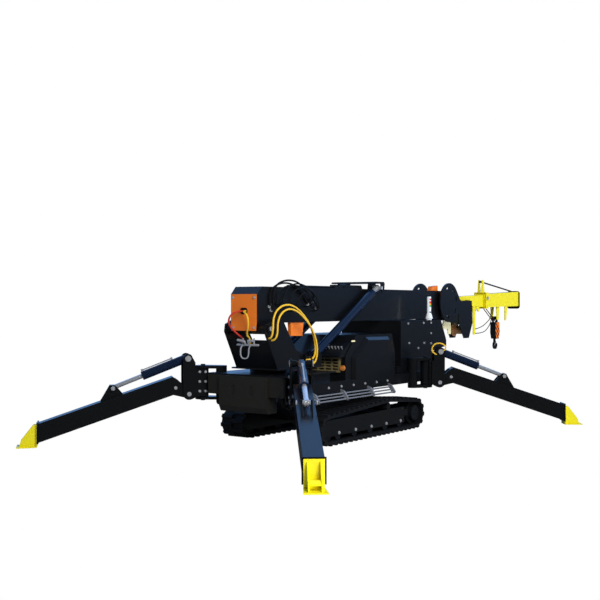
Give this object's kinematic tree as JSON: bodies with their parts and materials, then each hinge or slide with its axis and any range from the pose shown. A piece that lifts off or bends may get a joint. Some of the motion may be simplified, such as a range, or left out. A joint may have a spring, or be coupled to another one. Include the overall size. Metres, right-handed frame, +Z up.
{
  "type": "spider crane",
  "caption": "Compact crane on rubber tracks with a slewing telescopic boom, folding jib with winch and hook, and four swinging outriggers.",
  "frame": {"origin": "middle of the overall length and width, on the floor under the tracks and feet", "axes": "+X from the turret end towards the jib tip, +Y to the left, +Z up"},
  "size_m": [8.478, 4.4094, 1.88],
  "materials": {
    "orange_paint": "gloss",
    "yellow_paint": "gloss",
    "dark_blue_paint": "gloss",
    "black_paint": "satin",
    "grey_paint": "satin",
    "steel": "satin",
    "chrome": "polished",
    "rubber": "matte",
    "drum_brown": "satin",
    "grille_olive": "satin",
    "amber_glow": "gloss",
    "yellow_hose": "satin",
    "red_hose": "satin",
    "black_hose": "satin",
    "lamp_white": "gloss"
  },
  "bodies": {
    "base": {"chassis_frame": "black_paint", "centre_frame": "black_paint", "front_box": "grey_paint", "track_left": "rubber", "track_right": "rubber", "track_frames": "black_paint", "track_wheels": "grey_paint", "slew_ring": "orange_paint", "engine_hood": "black_paint", "hood_covers": "black_paint", "engine_block": "grey_paint", "control_console": "black_paint", "control_levers": "steel", "radiator_grille": "grille_olive", "side_lamp": "amber_glow", "rest_tower": "black_paint", "stack_light": "lamp_white", "side_pipes": "steel", "hoses_base": "yellow_hose"},
    "turret": {"turret": "black_paint", "hoses_turret": "yellow_hose", "hoses_rear": "red_hose"},
    "boom": {"boom_base": "black_paint", "boom_rear_plate": "orange_paint", "boom_saddle": "black_paint", "hoses_boom": "black_hose"},
    "boom_mid": {"boom_mid": "black_paint"},
    "boom_inner": {"boom_inner": "black_paint", "boom_head": "black_paint"},
    "jib": {"jib_beam": "yellow_paint", "jib_end_plate": "black_paint", "jib_top_rod": "black_paint", "winch_frame": "black_paint", "winch_drum": "drum_brown"},
    "lift_barrels": {"lift_cyl_barrel": "dark_blue_paint"},
    "lift_rods": {"lift_cyl_rod": "chrome"},
    "jib_barrel": {"jib_cyl_barrel": "dark_blue_paint"},
    "jib_rod": {"jib_cyl_rod": "chrome"},
    "hook": {"hook_block": "black_paint", "hook": "black_paint"},
    "base_left_bracket": {"base_left_bracket": "black_paint"},
    "base_left_leg": {"base_left_leg": "black_paint", "base_left_foot": "yellow_paint"},
    "base_left_barrel": {"base_left_cyl_barrel": "dark_blue_paint"},
    "base_left_rod": {"base_left_cyl_rod": "chrome"},
    "base_right_bracket": {"base_right_bracket": "black_paint"},
    "base_right_leg": {"base_right_leg": "black_paint", "base_right_foot": "yellow_paint"},
    "base_right_barrel": {"base_right_cyl_barrel": "dark_blue_paint"},
    "base_right_rod": {"base_right_cyl_rod": "chrome"},
    "head_right_bracket": {"head_right_bracket": "black_paint"},
    "head_right_leg": {"head_right_leg": "black_paint", "head_right_foot": "yellow_paint"},
    "head_right_barrel": {"head_right_cyl_barrel": "dark_blue_paint"},
    "head_right_rod": {"head_right_cyl_rod": "chrome"},
    "head_left_bracket": {"head_left_bracket": "black_paint"},
    "head_left_leg": {"head_left_leg": "black_paint", "head_left_foot": "yellow_paint"},
    "head_left_barrel": {"head_left_cyl_barrel": "dark_blue_paint"},
    "head_left_rod": {"head_left_cyl_rod": "chrome"}
  },
  "joints": [
    {"name": "slew", "type": "hinge", "parent": "base", "child": "turret", "pos_m": [-2.08496, 0, 0.81], "axis": [0, 0, 1], "continuous": true},
    {"name": "luff", "type": "hinge", "parent": "turret", "child": "boom", "pos_m": [-2.57496, 0, 1.248], "axis": [0, -1, 0], "range_deg": [0, 75], "deforming": ["hoses_rear"]},
    {"name": "telescope", "type": "slide", "parent": "boom", "child": "boom_mid", "axis": [1, 0, 0], "range_m": [0, 2.8]},
    {"name": "telescope_inner", "type": "slide", "parent": "boom_mid", "child": "boom_inner", "axis": [1, 0, 0], "range_m": [0, 2.8]},
    {"name": "jib_fold", "type": "hinge", "parent": "boom_inner", "child": "jib", "pos_m": [1.78504, 0, 1.5], "axis": [0, 1, 0], "range_deg": [-10, 45]},
    {"name": "lift_barrel_turn", "type": "hinge", "parent": "turret", "child": "lift_barrels", "pos_m": [-1.75496, 0, 0.93], "axis": [0, -1, 0], "range_deg": [0, 75.4]},
    {"name": "lift_rod_slide", "type": "slide", "parent": "lift_barrels", "child": "lift_rods", "axis": [0.8624, 0, 0.5063], "range_m": [0, 1.072]},
    {"name": "jib_barrel_turn", "type": "hinge", "parent": "boom_inner", "child": "jib_barrel", "pos_m": [1.65504, 0, 1.305], "axis": [0, 1, 0], "range_deg": [-9.3, 41.9]},
    {"name": "jib_rod_slide", "type": "slide", "parent": "jib_barrel", "child": "jib_rod", "axis": [0.9947, 0, 0.1031], "range_m": [-0.171, 0.039]},
    {"name": "hook_swing", "type": "hinge", "parent": "jib", "child": "hook", "pos_m": [3.51504, 0, 1.29], "axis": [0, 1, 0], "range_deg": [-60, 60]},
    {"name": "base_left_leg_swing", "type": "hinge", "parent": "base", "child": "base_left_bracket", "pos_m": [-2.56096, 0.665, 0.803], "axis": [0, 0, 1], "range_deg": [-40, 40]},
    {"name": "base_left_leg_lift", "type": "hinge", "parent": "base_left_bracket", "child": "base_left_leg", "pos_m": [-2.68812, 0.7717, 0.53], "axis": [0.6428, 0.766, 0], "range_deg": [0, 40]},
    {"name": "base_left_barrel_turn", "type": "hinge", "parent": "base_left_bracket", "child": "base_left_barrel", "pos_m": [-2.69731, 0.77942, 0.915], "axis": [0.6428, 0.766, 0], "range_deg": [0, 40.4]},
    {"name": "base_left_rod_slide", "type": "slide", "parent": "base_left_barrel", "child": "base_left_rod", "axis": [-0.7147, 0.5997, -0.3601], "range_m": [-0.264, 0]},
    {"name": "base_right_leg_swing", "type": "hinge", "parent": "base", "child": "base_right_bracket", "pos_m": [-2.56096, -0.665, 0.803], "axis": [0, 0, -1], "range_deg": [-40, 40]},
    {"name": "base_right_leg_lift", "type": "hinge", "parent": "base_right_bracket", "child": "base_right_leg", "pos_m": [-2.68812, -0.7717, 0.53], "axis": [-0.6428, 0.766, 0], "range_deg": [0, 40]},
    {"name": "base_right_barrel_turn", "type": "hinge", "parent": "base_right_bracket", "child": "base_right_barrel", "pos_m": [-2.69731, -0.77942, 0.915], "axis": [-0.6428, 0.766, 0], "range_deg": [0, 40.4]},
    {"name": "base_right_rod_slide", "type": "slide", "parent": "base_right_barrel", "child": "base_right_rod", "axis": [-0.7147, -0.5997, -0.3601], "range_m": [-0.264, 0]},
    {"name": "head_right_leg_swing", "type": "hinge", "parent": "base", "child": "head_right_bracket", "pos_m": [0.19204, -0.586, 0.803], "axis": [0, 0, 1], "range_deg": [-37, 30]},
    {"name": "head_right_leg_lift", "type": "hinge", "parent": "head_right_bracket", "child": "head_right_leg", "pos_m": [0.29195, -0.71857, 0.53], "axis": [-0.7986, -0.6018, 0], "range_deg": [0, 35]},
    {"name": "head_right_barrel_turn", "type": "hinge", "parent": "head_right_bracket", "child": "head_right_barrel", "pos_m": [0.29917, -0.72816, 0.915], "axis": [-0.7986, -0.6018, 0], "range_deg": [0, 34.4]},
    {"name": "head_right_rod_slide", "type": "slide", "parent": "head_right_barrel", "child": "head_right_rod", "axis": [0.5614, -0.7451, -0.3601], "range_m": [-0.232, 0]},
    {"name": "head_left_leg_swing", "type": "hinge", "parent": "base", "child": "head_left_bracket", "pos_m": [0.19204, 0.586, 0.803], "axis": [0, 0, -1], "range_deg": [-37, 30]},
    {"name": "head_left_leg_lift", "type": "hinge", "parent": "head_left_bracket", "child": "head_left_leg", "pos_m": [0.29195, 0.71857, 0.53], "axis": [0.7986, -0.6018, 0], "range_deg": [0, 35]},
    {"name": "head_left_barrel_turn", "type": "hinge", "parent": "head_left_bracket", "child": "head_left_barrel", "pos_m": [0.29917, 0.72816, 0.915], "axis": [0.7986, -0.6018, 0], "range_deg": [0, 34.4]},
    {"name": "head_left_rod_slide", "type": "slide", "parent": "head_left_barrel", "child": "head_left_rod", "axis": [0.5614, 0.7451, -0.3601], "range_m": [-0.232, 0]}
  ],
  "couplings": [
    {"joint": "telescope_inner", "follows": "telescope", "ratio": 1},
    {"joint": "lift_barrel_turn", "follows": "luff", "ratio": 1.0049},
    {"joint": "lift_rod_slide", "follows": "luff", "m_per_rad": 0.81798},
    {"joint": "jib_barrel_turn", "follows": "jib_fold", "ratio": 0.92895},
    {"joint": "jib_rod_slide", "follows": "jib_fold", "m_per_rad": -0.21641},
    {"joint": "base_left_barrel_turn", "follows": "base_left_leg_lift", "ratio": 1.0076},
    {"joint": "base_left_rod_slide", "follows": "base_left_leg_lift", "m_per_rad": -0.37737},
    {"joint": "base_right_barrel_turn", "follows": "base_right_leg_lift", "ratio": 1.0076},
    {"joint": "base_right_rod_slide", "follows": "base_right_leg_lift", "m_per_rad": -0.37737},
    {"joint": "head_right_barrel_turn", "follows": "head_right_leg_lift", "ratio": 0.9807},
    {"joint": "head_right_rod_slide", "follows": "head_right_leg_lift", "m_per_rad": -0.37896},
    {"joint": "head_left_barrel_turn", "follows": "head_left_leg_lift", "ratio": 0.9807},
    {"joint": "head_left_rod_slide", "follows": "head_left_leg_lift", "m_per_rad": -0.37896}
  ]
}
